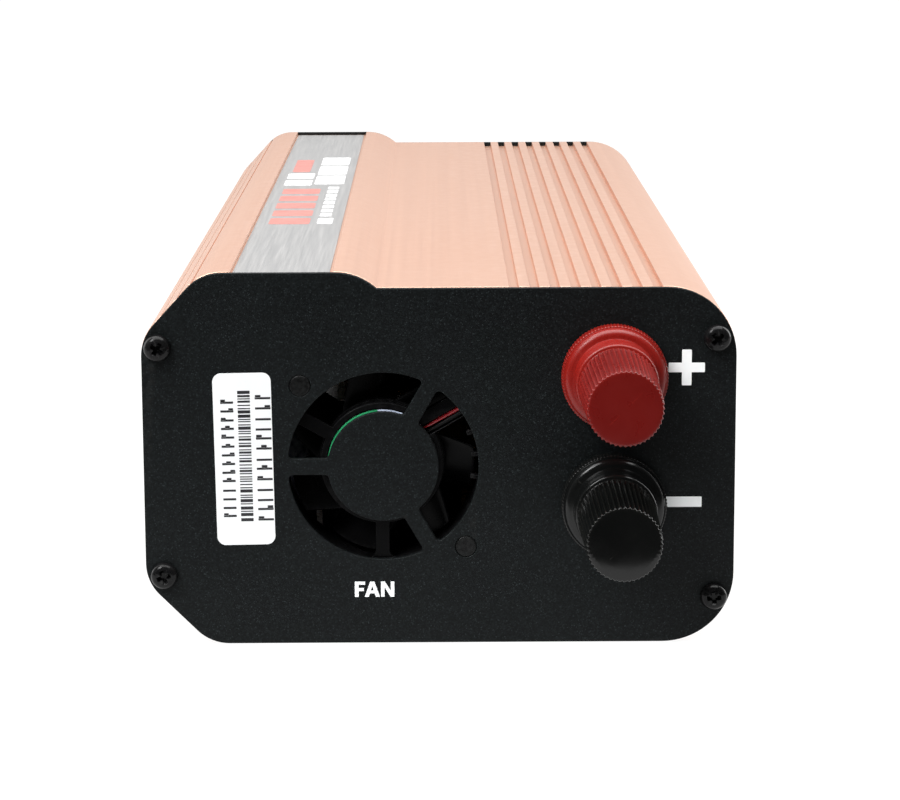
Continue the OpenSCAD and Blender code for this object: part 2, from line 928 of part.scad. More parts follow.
module output_transistors() {
    color("#1a1a1c")
        mirror([1, 0, 0])
            for (i = [0 : device_n - 1]) power_device(device_y + i * device_pitch);
}

module insulating_pads() {
    color("#b9c4c9")
        for (side = [0, 1])
            mirror([side, 0, 0])
                for (i = [0 : device_n - 1])
                    translate([spreader_x - pad_t, device_y + i * device_pitch - 5.4, 19])
                        cube([pad_t, 10.8, 17]);
}

function clamp_places() = [
    for (i = [0 : 2 : device_n - 2]) device_y + (i + 0.5) * device_pitch
];

module heat_spreaders() {
    color("#b9bcc0")
        for (side = [0, 1])
            mirror([side, 0, 0])
                difference() {
                    translate([spreader_x, device_y - 12, spreader_z])
                        cube([half_w - wall - spreader_x, spreader_l, spreader_h]);
                    for (y = clamp_places())
                        translate([spreader_x - 1, y, 25]) rotate([0, 90, 0])
                            cylinder(r = 1.5, h = 8);
                }
}

module transistor_clamps() {
    color("#9a9da1")
        for (side = [0, 1])
            mirror([side, 0, 0])
                difference() {
                    translate([spreader_x - pad_t - 6, device_y - 7, 22])
                        cube([1.5, device_pitch * (device_n - 1) + 14, 6]);
                    for (y = clamp_places())
                        translate([spreader_x - 10, y, 25]) rotate([0, 90, 0])
                            cylinder(r = 1.6, h = 8);
                }
}

module clamp_screws() {
    color("#8a8d91")
        for (side = [0, 1])
            mirror([side, 0, 0])
                for (y = clamp_places())
                    translate([spreader_x - pad_t - 6, y, 25]) rotate([0, -90, 0])
                        pan_screw(2.8, 2, 1.4, 12);
}

module bus_capacitors() {
    color("#1c2440")
        for (x = [-14, 14]) can_capacitor(x, in_y + 205, 11, 40);
}

module driver_board() {
    color("#236b3d") {
        block(29, in_y + 88, board_top, [1.6, 58, 32]);
        for (i = [0 : 2]) block(27.4, in_y + 94 + 17 * i, board_top + 10, [1.7, 10, 14]);
    }
}

module choke_core() {
    color("#d8c21e")
        translate([-14, in_y + 238, board_top + 16]) rotate([90, 0, 0])
            difference() {
                translate([0, 0, -5]) cylinder(r = 13, h = 10);
                translate([0, 0, -6]) cylinder(r = 7.5, h = 12);
            }
}

// Turns of wire around the choke, each a square frame around the core
module choke_winding() {
    color("#b5652a")
        translate([-14, in_y + 238, board_top + 16]) rotate([90, 0, 0])
            for (i = [0 : 13])
                rotate(360 * (i + 0.5) / 14)
                    translate([10.25, 0, 0]) rotate([90, 0, 0])
                        linear_extrude(1.2, center = true)
                            difference() {
                                square([8.1, 12.6], center = true);
                                square([5.7, 10.2], center = true);
                            }
}

// ---- Mains end ----

// Face of one outlet: two blade slots and a round earth hole
module outlet_holes(extra) {
    for (s = [-1, 1])
        translate([s * 6.35, 4]) square([2.2 + extra, (s < 0 ? 8.4 : 6.8) + extra], center = true);
    translate([0, -7.9]) circle(r = 2.6 + extra / 2);
}

module ac_outlets() {
    color("#202124")
        for (i = [0, 1])
            translate([outlet_x + i * outlet_pitch, 0, outlet_z])
                difference() {
                    union() {
                        along_y(rear_y, outlet_reach) round_rect(outlet_w, outlet_h, 3);
                        along_y(rear_y - outlet_deep, outlet_deep)
                            square([24, 32], center = true);
                    }
                    along_y(rear_y - 1, outlet_reach + 2) outlet_holes(0);
                    along_y(rear_y - 14, 13.1) outlet_holes(2.4);
                }
}

module outlet_contacts() {
    color("#c9a24a")
        for (i = [0, 1])
            translate([outlet_x + i * outlet_pitch, 0, outlet_z])
                along_y(rear_y - 13.8, 12.4)
                    difference() {
                        outlet_holes(2);
                        outlet_holes(0.4);
                    }
}

module ac_wires() {
    color("#e9e9e6")
        for (i = [0, 1])
            for (s = [-1, 1])
                translate([outlet_x + i * outlet_pitch + s * 6, 0, 0])
                    lead([
                        [0, rear_y - outlet_deep - 1, 44], [0, rear_y - outlet_deep - 8, 41],
                        [0, rear_y - outlet_deep - 13, 30], [0, rear_y - outlet_deep - 14, 20],
                        [0, rear_y - outlet_deep - 14, 13],
                        [0, rear_y - outlet_deep - 14, board_top + 0.05]
                    ], 1.3);
}

// Snap-in body of the rocker switch with its bezel
module switch_body() {
    color("#101012")
        difference() {
            union() {
                along_y(rear_y, 2) translate([switch_x, switch_z]) round_rect(15, 21, 1);
                block(switch_x, rear_y - 13, switch_z - 9.4, [12.9, 13, 18.8]);
            }
            block(switch_x, rear_y - 9, switch_z - 8.5, [10.6, 20, 17]);
            translate([switch_x - 10, rear_y, switch_z]) rotate([0, 90, 0])
                cylinder(r = 1.25, h = 20);
        }
}

module switch_terminals() {
    color("#c9a24a")
        for (s = [-1, 1])
            block(switch_x, rear_y - 20, switch_z + s * 4.5 - 0.4, [4.8, 7, 0.8]);
}

// Rocker drawn in Y-Z about its pivot, then tipped to its off position
module switch_rocker() {
    color("#1a1a1c")
        translate([switch_x, rear_y, switch_z]) rotate([-rocker_tilt, 0, 0]) {
            intersection() {
                rotate([90, 0, 90]) linear_extrude(10.2, center = true)
                    polygon([[-4, -5.4], [2.4, -9], [2.4, -7.9], [1, 0], [2.4, 7.9],
                        [2.4, 9], [-4, 5.4]]);
                rotate([0, 90, 0]) cylinder(r = 8.2, h = 12, center = true);
            }
            rotate([0, 90, 0]) cylinder(r = 1.2, h = 12.6, center = true);
        }
}

module usb_socket() {
    color("#c9ccd0")
        difference() {
            block(switch_x, rear_y - 13, usb_z - 2.85, [13.2, 13.2, 5.7]);
            block(switch_x, rear_y - 12.6, usb_z - 2.55, [12.6, 14, 5.1]);
        }
}

module usb_insert() {
    color("#f1f1ee") {
        block(switch_x, rear_y - 12.5, usb_z - 2.5, [12.4, 3, 5]);
        block(switch_x, rear_y - 10, usb_z + 0.2, [11.2, 9, 1.8]);
    }
}

// Round indicator with a domed tip, collar inside the panel
module indicator(x) {
    translate([x, out_y, led_z]) rotate([-90, 0, 0]) {
        translate([0, 0, -1]) cylinder(r = led_r + 0.4, h = 0.95);
        translate([0, 0, -6]) cylinder(r = led_r, h = 7.8);
        translate([0, 0, 1.8]) intersection() {
            sphere(r = led_r);
            translate([0, 0, -0.1]) cylinder(r = led_r, h = led_r + 1);
        }
    }
}

module power_led() {
    color("#3fbf4a") indicator(switch_x - 5);
}

module fault_led() {
    color("#d03028") indicator(switch_x + 5);
}

top_shell();
bottom_shell();
front_panel();
rear_panel();
front_panel_screws();
rear_panel_screws();
nameplate_label();
serial_label();
fan_frame();
fan_bearing();
fan_stator();
fan_sticker();
fan_rotor();
fan_magnet();
fan_shaft();
fan_studs();
fan_nuts();
fan_lead_red();
fan_lead_black();
positive_collar();
negative_collar();
terminal_bushes();
terminal_studs();
terminal_nuts();
terminal_lugs();
positive_lead();
negative_lead();
positive_washer();
positive_insert();
positive_knob();
negative_washer();
negative_insert();
negative_knob();
main_board();
input_fuses();
input_capacitors();
transformer_cores();
transformer_windings();
transformer_bobbins();
input_transistors();
output_transistors();
insulating_pads();
heat_spreaders();
transistor_clamps();
clamp_screws();
bus_capacitors();
driver_board();
choke_core();
choke_winding();
ac_outlets();
outlet_contacts();
ac_wires();
switch_body();
switch_terminals();
switch_rocker();
usb_socket();
usb_insert();
power_led();
fault_led();
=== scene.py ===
"""Looks of the power inverter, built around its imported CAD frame.

Metres, +X right, +Z up, the battery end faces -Y. Sizes below are in millimetres and scaled by MM.
"""
import json
import math
import random

import bmesh
import bpy
from mathutils import Matrix, Vector

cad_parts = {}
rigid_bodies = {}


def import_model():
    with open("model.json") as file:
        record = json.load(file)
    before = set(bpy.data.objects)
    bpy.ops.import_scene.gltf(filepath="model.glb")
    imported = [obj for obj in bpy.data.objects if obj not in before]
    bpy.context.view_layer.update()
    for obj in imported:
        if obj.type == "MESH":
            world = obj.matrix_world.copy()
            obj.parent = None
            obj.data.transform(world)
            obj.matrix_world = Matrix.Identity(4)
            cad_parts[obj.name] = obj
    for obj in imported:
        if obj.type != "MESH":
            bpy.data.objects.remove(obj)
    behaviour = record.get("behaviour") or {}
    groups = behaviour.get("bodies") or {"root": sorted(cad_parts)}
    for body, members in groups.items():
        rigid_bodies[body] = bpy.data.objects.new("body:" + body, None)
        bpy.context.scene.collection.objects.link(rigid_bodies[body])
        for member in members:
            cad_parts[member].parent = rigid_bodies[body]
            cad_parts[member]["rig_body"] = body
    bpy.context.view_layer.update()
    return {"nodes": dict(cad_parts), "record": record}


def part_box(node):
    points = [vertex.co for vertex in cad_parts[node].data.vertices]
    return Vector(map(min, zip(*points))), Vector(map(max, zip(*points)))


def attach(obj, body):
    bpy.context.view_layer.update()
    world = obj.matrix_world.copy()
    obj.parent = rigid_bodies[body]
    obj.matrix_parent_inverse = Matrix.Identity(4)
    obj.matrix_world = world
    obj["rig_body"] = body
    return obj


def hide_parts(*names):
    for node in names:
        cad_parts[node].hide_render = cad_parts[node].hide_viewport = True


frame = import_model()

MM = 0.001
WELD = 2e-6  # metres, well under the smallest detail
NODES = frame["nodes"]
SLOT_OF = {s["node"]: s["material_slot"] for s in frame["record"]["subparts"]}
BODY_OF = {name: node["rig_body"] for name, node in NODES.items()}
MATERIALS = {}


def middle(node):
    low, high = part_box(node)
    return (low + high) / 2


PANEL_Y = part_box("front_panel")[0].y
REAR_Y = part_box("rear_panel")[1].y
FAN = middle("fan_sticker")
POSITIVE = middle("positive_knob")
NEGATIVE = middle("negative_knob")


# ---------------------------------------------------------------- places

def front_place(x, z):
    """Local +Z points out of the front panel, local X to the right and local Y up."""
    turn = Matrix(((1, 0, 0, 0), (0, 0, -1, 0), (0, 1, 0, 0), (0, 0, 0, 1)))
    return Matrix.Translation((x, PANEL_Y, z)) @ turn


def rear_place(x, z):
    """Local +Z points out of the rear panel, local Y up."""
    turn = Matrix(((-1, 0, 0, 0), (0, 0, 1, 0), (0, 1, 0, 0), (0, 0, 0, 1)))
    return Matrix.Translation((x, REAR_Y, z)) @ turn


# ---------------------------------------------------------------- materials

class Shader:
    """Small helper around one node material."""

    def __init__(self, name):
        self.mat = bpy.data.materials.new(name)
        self.mat.use_nodes = True
        self.tree = self.mat.node_tree
        self.bsdf = self.tree.nodes["Principled BSDF"]

    def node(self, kind, settings=None, **inputs):
        made = self.tree.nodes.new(kind)
        for key, value in (settings or {}).items():
            setattr(made, key, value)
        for key, value in inputs.items():
            self.put(made.inputs[key.replace("_", " ")], value)
        return made

    def put(self, socket, value):
        if isinstance(value, bpy.types.NodeSocket):
            self.tree.links.new(value, socket)
        else:
            socket.default_value = value

    def coords(self, stretch=(1, 1, 1), shift=(0, 0, 0)):
        place = self.node("ShaderNodeTexCoord").outputs["Object"]
        mapping = self.node("ShaderNodeMapping", Vector=place, Scale=stretch, Location=shift)
        return mapping.outputs[0]

    def noise(self, scale, stretch=(1, 1, 1), detail=3.0, rough=0.55):
        made = self.node("ShaderNodeTexNoise", Vector=self.coords(stretch), Scale=scale,
                         Detail=detail, Roughness=rough)
        return made.outputs[0]

    def ramp(self, value, low, high, to_low=0.0, to_high=1.0):
        made = self.node("ShaderNodeMapRange", {"clamp": True})
        for key, number in (("From Min", low), ("From Max", high), ("To Min", to_low),
                            ("To Max", to_high)):
            made.inputs[key].default_value = number
        self.put(made.inputs["Value"], value)
        return made.outputs[0]

    def mix(self, factor, first, second):
        made = self.node("ShaderNodeMix", {"data_type": "RGBA"})
        self.put(made.inputs["Factor"], factor)
        for socket, value in ((made.inputs[6], first), (made.inputs[7], second)):
            self.put(socket, value if isinstance(value, bpy.types.NodeSocket) else (*value, 1.0))
        return made.outputs[2]

    def math(self, operation, first, second):
        made = self.node("ShaderNodeMath", {"operation": operation})
        self.put(made.inputs[0], first)
        self.put(made.inputs[1], second)
        return made.outputs[0]

    def bump(self, height, strength, relief, under=None):
        made = self.node("ShaderNodeBump", Height=height, Strength=strength,
                         Distance=relief * MM)
        if under is not None:
            self.put(made.inputs["Normal"], under)
        return made.outputs[0]

    def cells(self, scale):
        made = self.node("ShaderNodeTexVoronoi", Vector=self.coords(), Scale=scale)
        return self.node("ShaderNodeSeparateColor", Color=made.outputs["Color"]).outputs[0]

    def edges(self, low=0.51, high=0.56):
        """Pointiness mask: convex edges, where handling rubs the finish; with low above high,
        concave hollows, where finish() paints shade.
        """
        point = self.node("ShaderNodeNewGeometry").outputs["Pointiness"]
        return self.ramp(point, low, high)


def finish(slot, dark, light, rough, metal=0.0, spec=0.5, patch=60, spread=0.06,
           grain=2500, grain_stretch=(1, 1, 1), bump=0.15, relief=0.02, worn=None,
           painted_hollow_shade=None, sockets=None):
    """One procedural finish: two close tones, varied roughness, grain bump, rubbed edges.

    Convex edges take the worn tone; concave ones take a darker tone, a painted shade in creases
    and hollows.
    """
    s = Shader(slot)
    tone = s.mix(s.ramp(s.noise(patch), 0.35, 0.65), dark, light)
    # painted shade: concave creases and hollows darken towards the given shade tone
    if painted_hollow_shade:
        tone = s.mix(s.edges(0.468, 0.435), tone, painted_hollow_shade)
    if worn:
        rub = s.math("MULTIPLY", s.edges(), s.ramp(s.noise(900), 0.35, 0.7, 0.15, 0.8))
        tone = s.mix(rub, tone, worn)
    s.put(s.bsdf.inputs["Base Color"], tone)
    gloss = s.ramp(s.noise(patch * 4), 0.3, 0.7, max(0.03, rough - spread),
                   min(1.0, rough + spread))
    s.put(s.bsdf.inputs["Roughness"], gloss)
    s.bsdf.inputs["Metallic"].default_value = metal
    s.bsdf.inputs["Specular IOR Level"].default_value = spec
    fine = s.noise(grain, grain_stretch, detail=4.0)
    s.put(s.bsdf.inputs["Normal"], s.bump(fine, bump, relief))
    for key, value in (sockets or {}).items():
        s.bsdf.inputs[key].default_value = value
    MATERIALS[slot] = s.mat
    return s


def shell_finish():
    """Rose-gold anodised extrusion: drawn lines along Y over a fine blasted grain, with painted
    shade in its grooves.
    """
    s = Shader("shell")
    lengthwise = (1.0, 0.003, 1.0)
    drawn = s.noise(1500, lengthwise, detail=2.0, rough=0.5)
    cloud = s.noise(14, (1, 0.4, 1))
    tone = s.mix(s.ramp(drawn, 0.3, 0.7), (0.668, 0.412, 0.302), (0.690, 0.431, 0.317))
    tone = s.mix(s.ramp(cloud, 0.35, 0.7, 0.0, 0.30), tone, (0.71, 0.485, 0.38))
    rub = s.math("MULTIPLY", s.edges(0.52, 0.60), s.ramp(s.noise(400), 0.4, 0.7, 0.0, 0.2))
    tone = s.mix(rub, tone, (0.93, 0.80, 0.74))
    # painted shade: concave groove floors and hollows darken to deep orange-brown
    tone = s.mix(s.edges(0.475, 0.435), tone, (0.40, 0.17, 0.095))
    s.put(s.bsdf.inputs["Base Color"], tone)
    s.bsdf.inputs["Metallic"].default_value = 0.85
    s.put(s.bsdf.inputs["Roughness"], s.ramp(drawn, 0.25, 0.75, 0.43, 0.46))
    s.bsdf.inputs["Specular Tint"].default_value = (1.0, 0.80, 0.71, 1.0)
    s.bsdf.inputs["Coat Weight"].default_value = 0.38
    s.bsdf.inputs["Coat Roughness"].default_value = 0.22
    lines = s.bump(drawn, 0.03, 0.01)
    blasted = s.bump(s.noise(2200, detail=1.0), 0.02, 0.01, lines)
    s.put(s.bsdf.inputs["Normal"], blasted)
    MATERIALS["shell"] = s.mat


def panel_finish():
    """Black powder coat: orange-peel skin, fine texture and tiny sparkles."""
    s = Shader("panel")
    tone = s.mix(s.ramp(s.noise(35), 0.3, 0.7), (0.0030, 0.0038, 0.0040),
                 (0.0042, 0.0052, 0.0054))
    speck = s.ramp(s.cells(3400), 0.35, 1.0)
    tone = s.mix(s.math("MULTIPLY", speck, 0.34), tone, (0.014, 0.018, 0.019))
    glint = s.ramp(s.cells(5200), 0.92, 1.0)
    tone = s.mix(s.math("MULTIPLY", glint, 0.55), tone, (0.032, 0.040, 0.042))
    rub = s.math("MULTIPLY", s.edges(0.53, 0.60), s.ramp(s.noise(700), 0.4, 0.7, 0.0, 0.12))
    tone = s.mix(rub, tone, (0.070, 0.066, 0.060))
    s.put(s.bsdf.inputs["Base Color"], tone)
    s.put(s.bsdf.inputs["Roughness"], s.ramp(s.noise(1800), 0.3, 0.7, 0.44, 0.60))
    s.bsdf.inputs["Specular IOR Level"].default_value = 0.13
    skin = s.bump(s.noise(900, detail=2.0), 0.20, 0.05)
    grit = s.bump(s.noise(5200, detail=2.0), 0.30, 0.03, skin)
    s.put(s.bsdf.inputs["Normal"], grit)
    MATERIALS["panel"] = s.mat


def sticker_finish():
    """Round fan sticker: a green printed sector and a pale one, by angle about its middle."""
    s = Shader("sticker")
    place = s.coords(shift=(-FAN.x, -FAN.y, -FAN.z))
    split = s.node("ShaderNodeSeparateXYZ", Vector=place)
    slope = s.math("ARCTAN2", split.outputs["Z"], split.outputs["X"])
    pale = s.math("MULTIPLY", s.ramp(slope, 0.35, 0.37), s.ramp(slope, 1.66, 1.64))
    green = s.mix(s.ramp(s.noise(300), 0.3, 0.7), (0.018, 0.290, 0.110), (0.030, 0.380, 0.150))
    tone = s.mix(pale, green, (0.55, 0.62, 0.78))
    s.put(s.bsdf.inputs["Base Color"], tone)
    s.put(s.bsdf.inputs["Roughness"], s.ramp(s.noise(900), 0.3, 0.7, 0.28, 0.42))
    s.put(s.bsdf.inputs["Normal"], s.bump(s.noise(1500), 0.1, 0.01))
    MATERIALS["sticker"] = s.mat


def nameplate_finish():
    """Silver-grey brushed film under a clear satin layer."""
    s = Shader("nameplate")
    brushed = s.noise(1900, (1.0, 0.02, 1.0), detail=4.0)
    tone = s.mix(s.ramp(brushed, 0.3, 0.7), (0.295, 0.295, 0.295), (0.385, 0.38, 0.375))
    s.put(s.bsdf.inputs["Base Color"], tone)
    s.bsdf.inputs["Metallic"].default_value = 0.55
    s.put(s.bsdf.inputs["Roughness"], s.ramp(brushed, 0.3, 0.7, 0.30, 0.42))
    waves = s.bump(s.noise(45, (0.5, 1.2, 1), detail=1.0), 0.12, 0.10)
    s.put(s.bsdf.inputs["Normal"], s.bump(brushed, 0.03, 0.01, waves))
    MATERIALS["nameplate"] = s.mat


def make_materials():
    shell_finish()
    panel_finish()
    sticker_finish()
    nameplate_finish()
    finish("black_screw", (0.0020, 0.0020, 0.0022), (0.0035, 0.0035, 0.0038), 0.17, spec=0.18,
           spread=0.03, grain=3500, bump=0.07, relief=0.012, worn=(0.02, 0.02, 0.02))
    finish("stud_head", (0.0010, 0.0011, 0.0011), (0.0080, 0.0085, 0.0085), 0.42, spec=0.20,
           patch=1500, grain=2800, bump=0.40, relief=0.04)
    finish("white_label", (0.80, 0.815, 0.82), (0.84, 0.855, 0.86), 0.34, grain=3000,
           bump=0.05, relief=0.01)
    finish("fan_plastic", (0.0012, 0.0012, 0.0013), (0.0020, 0.0020, 0.0022), 0.30,
           spec=0.06, grain=1400, bump=0.10, relief=0.02, worn=(0.012, 0.012, 0.0125))
    # painted shade: the last, darkest tone is painted into concave places such as the ridge
    # valleys
    finish("red_plastic", (0.112, 0.0044, 0.0034), (0.134, 0.0058, 0.0044), 0.30, spec=0.36,
           spread=0.05, grain=1700, bump=0.12, relief=0.02, worn=(0.22, 0.014, 0.010),
           painted_hollow_shade=(0.035, 0.0012, 0.0010))
    finish("red_collar", (0.165, 0.0062, 0.0040), (0.205, 0.0085, 0.0054), 0.30, spec=0.42,
           spread=0.05, grain=1700, bump=0.10, relief=0.02, worn=(0.24, 0.022, 0.015))
    # painted shade: the last, near-black tone is painted into concave places such as the ridge
    # valleys
    finish("black_plastic", (0.0026, 0.0028, 0.0027), (0.0040, 0.0042, 0.0040), 0.10,
           spec=0.36, spread=0.02, grain=1700, bump=0.03, relief=0.010,
           worn=(0.014, 0.014, 0.012), painted_hollow_shade=(0.0006, 0.0006, 0.0006))
    finish("black_collar", (0.0024, 0.0026, 0.0026), (0.0038, 0.0041, 0.0040), 0.18,
           spec=0.34, spread=0.03, grain=1700, bump=0.04, relief=0.012,
           worn=(0.020, 0.020, 0.018))
    finish("bronze", (0.30, 0.18, 0.07), (0.40, 0.25, 0.10), 0.45, metal=1.0, grain=5000)
    finish("copper_wire", (0.45, 0.17, 0.07), (0.60, 0.25, 0.11), 0.28, metal=1.0,
           grain=1800, grain_stretch=(1, 1, 6), worn=(0.80, 0.42, 0.25))
    finish("magnet", (0.045, 0.045, 0.047), (0.075, 0.075, 0.078), 0.55, metal=0.4,
           grain=4200, bump=0.35, worn=(0.16, 0.16, 0.16))
    finish("steel", (0.42, 0.43, 0.44), (0.58, 0.59, 0.60), 0.30, metal=1.0, grain=3000,
           grain_stretch=(1, 0.1, 1), worn=(0.78, 0.78, 0.78))
    finish("red_wire", (0.24, 0.006, 0.011), (0.33, 0.010, 0.017), 0.20, patch=120,
           grain=900, bump=0.08, worn=(0.45, 0.05, 0.05))
    finish("black_wire", (0.004, 0.004, 0.004), (0.007, 0.007, 0.007), 0.55, spec=0.15,
           patch=120, grain=900, bump=0.08)
    finish("white_wire", (0.68, 0.68, 0.66), (0.80, 0.80, 0.78), 0.38, patch=120, grain=900,
           bump=0.08)
    finish("brass", (0.56, 0.38, 0.13), (0.72, 0.52, 0.22), 0.26, metal=1.0, patch=150,
           grain=3600, bump=0.12, worn=(0.90, 0.74, 0.42))
    finish("tin", (0.52, 0.52, 0.50), (0.68, 0.67, 0.64), 0.33, metal=1.0, grain=2600,
           worn=(0.82, 0.81, 0.79))
    finish("circuit_board", (0.010, 0.095, 0.035), (0.016, 0.130, 0.050), 0.30, patch=220,
           grain=1200, grain_stretch=(1, 1, 0.2), bump=0.25, worn=(0.40, 0.42, 0.22))
    finish("fuse_body", (0.62, 0.26, 0.03), (0.78, 0.36, 0.06), 0.30, patch=90, grain=1700,
           bump=0.10, worn=(0.88, 0.60, 0.30))
    finish("capacitor", (0.014, 0.017, 0.032), (0.024, 0.029, 0.050), 0.27, patch=90,
           grain=1500, grain_stretch=(1, 1, 0.2), bump=0.10, worn=(0.35, 0.36, 0.38))
    finish("ferrite", (0.035, 0.036, 0.040), (0.060, 0.061, 0.066), 0.62, patch=260,
           grain=3800, bump=0.40, relief=0.04, worn=(0.14, 0.14, 0.15))
    finish("tape", (0.46, 0.24, 0.025), (0.66, 0.38, 0.06), 0.28, patch=140, grain=900,
           grain_stretch=(0.2, 0.2, 3), bump=0.30, relief=0.05, worn=(0.80, 0.60, 0.25))
    finish("toroid", (0.62, 0.50, 0.030), (0.76, 0.64, 0.06), 0.48, patch=200, grain=2400,
           bump=0.20, worn=(0.85, 0.78, 0.35))
    finish("epoxy", (0.014, 0.014, 0.015), (0.026, 0.026, 0.028), 0.50, patch=240,
           grain=4500, bump=0.30, worn=(0.09, 0.09, 0.09))
    finish("pad", (0.42, 0.47, 0.50), (0.52, 0.57, 0.60), 0.70, patch=160, grain=2600,
           bump=0.20)
    finish("bar", (0.56, 0.57, 0.58), (0.70, 0.71, 0.72), 0.38, metal=1.0, grain=2200,
           grain_stretch=(1, 0.02, 1), bump=0.25, worn=(0.88, 0.88, 0.88))
    finish("outlet_plastic", (0.013, 0.013, 0.014), (0.021, 0.021, 0.023), 0.36, patch=80,
           grain=2600, bump=0.22, relief=0.03, worn=(0.07, 0.07, 0.07))
    finish("usb_metal", (0.55, 0.56, 0.57), (0.68, 0.69, 0.70), 0.25, metal=1.0, grain=2600,
           worn=(0.86, 0.86, 0.86))
    finish("green_lens", (0.020, 0.42, 0.050), (0.040, 0.56, 0.080), 0.12, grain=900,
           bump=0.04, sockets={"Transmission Weight": 0.5, "IOR": 1.5})
    finish("red_lens", (0.50, 0.018, 0.012), (0.66, 0.030, 0.020), 0.12, grain=900,
           bump=0.04, sockets={"Transmission Weight": 0.5, "IOR": 1.5})
    finish("ink_white", (0.91, 0.95, 0.95), (0.95, 0.985, 0.985), 0.45, patch=500, grain=4500,
           bump=0.20, worn=(0.95, 0.96, 0.96))
    finish("ink_pale", (0.48, 0.485, 0.485), (0.55, 0.555, 0.555), 0.5, patch=500, grain=4500,
           bump=0.10)
    finish("ink_black", (0.012, 0.012, 0.014), (0.022, 0.022, 0.025), 0.42, patch=500,
           grain=3500, bump=0.10)
    finish("ink_red", (0.36, 0.130, 0.110), (0.41, 0.155, 0.132), 0.42, patch=300,
           grain=3000, bump=0.08)
    finish("floor_paper", (0.10, 0.10, 0.10), (0.11, 0.11, 0.11), 0.8, spec=0.1, patch=8,
           grain=500, bump=0.05,
           sockets={"Emission Color": (1, 1, 1, 1), "Emission Strength": 0.92})


# ---------------------------------------------------------------- meshes

def to_object(name, mesh):
    made = bpy.data.objects.new(name, mesh)
    bpy.context.scene.collection.objects.link(made)
    return made


def smooth_by_angle(mesh, degrees):
    for face in mesh.polygons:
        face.use_smooth = True
    mesh.set_sharp_from_angle(angle=math.radians(degrees))


def from_bmesh(name, bm, place=None, degrees=40):
    """Closes a bmesh into an object, facing outwards and shaded smooth below an angle."""
    if place is not None:
        bmesh.ops.transform(bm, matrix=place, verts=bm.verts)
    bmesh.ops.recalc_face_normals(bm, faces=bm.faces)
    mesh = bpy.data.meshes.new(name)
    bm.to_mesh(mesh)
    bm.free()
    smooth_by_angle(mesh, degrees)
    return to_object(name, mesh)


def applied(obj):
    """Replaces an object's mesh by what its modifiers make of it."""
    graph = bpy.context.evaluated_depsgraph_get()
    mesh = bpy.data.meshes.new_from_object(obj.evaluated_get(graph))
    obj.modifiers.clear()
    obj.data = mesh
    return obj


def dress(obj, body, slot, material):
    """Gives a piece its body and its material, by default the material of its record slot."""
    obj.data.materials.clear()
    obj.data.materials.append(MATERIALS[material or slot])
    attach(obj, body)
    return obj


def stands_for(obj, node, material=None):
    """Dresses a piece like the CAD node that it replaces."""
    dress(obj, BODY_OF[node], SLOT_OF[node], material)
    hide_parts(node)
    return obj


def cut_in_strips(bm, width):
    """Marks seams across X every width mm, so that no face merged between them has a hole."""
    xs = [v.co.x for v in bm.verts]
    count = int((max(xs) - min(xs)) / MM / width / 2)
    for k in range(-count, count + 1):
        cut = bmesh.ops.bisect_plane(bm, geom=bm.verts[:] + bm.edges[:] + bm.faces[:],
                                     plane_co=(k * width * MM, 0, 0), plane_no=(1, 0, 0))
        for piece in cut["geom_cut"]:
            if isinstance(piece, bmesh.types.BMEdge):
                piece.seam = True


def clean_copy(node):
    """The node's surface with its triangles merged back into whole faces."""
    flat, strip = 1.0, 2.5
    bm = bmesh.new()
    bm.from_mesh(NODES[node].data)
    bmesh.ops.remove_doubles(bm, verts=bm.verts, dist=WELD)
    if node == "rear_panel":
        cut_in_strips(bm, strip)
    bmesh.ops.dissolve_limit(bm, angle_limit=math.radians(flat), verts=bm.verts,
                             edges=bm.edges, use_dissolve_boundaries=False,
                             delimit={"SEAM"})
    return bm


def eased(node, width, material=None):
    """The node with its sharp edges rounded off by width mm."""
    obj = from_bmesh(node + "_part", clean_copy(node), degrees=50)
    bevel = obj.modifiers.new("ease", "BEVEL")
    bevel.width = width * MM
    bevel.segments = 2
    bevel.limit_method = "ANGLE"
    bevel.angle_limit = math.radians(35)
    bevel.use_clamp_overlap = False
    bevel.miter_outer = "MITER_ARC"
    weigh = obj.modifiers.new("weigh", "WEIGHTED_NORMAL")
    weigh.keep_sharp = True
    weigh.weight = 80
    return stands_for(applied(obj), node, material)


def rounded_lead(node):
    """A lead's many-sided tube, subdivided into a round one."""
    bm = bmesh.new()
    bm.from_mesh(NODES[node].data)
    bmesh.ops.remove_doubles(bm, verts=bm.verts, dist=WELD)
    bmesh.ops.dissolve_limit(bm, angle_limit=math.radians(0.3), verts=bm.verts,
                             edges=bm.edges)
    obj = from_bmesh(node + "_part", bm, degrees=60)
    rounder = obj.modifiers.new("round", "SUBSURF")
    rounder.levels = rounder.render_levels = 2
    return stands_for(applied(obj), node)


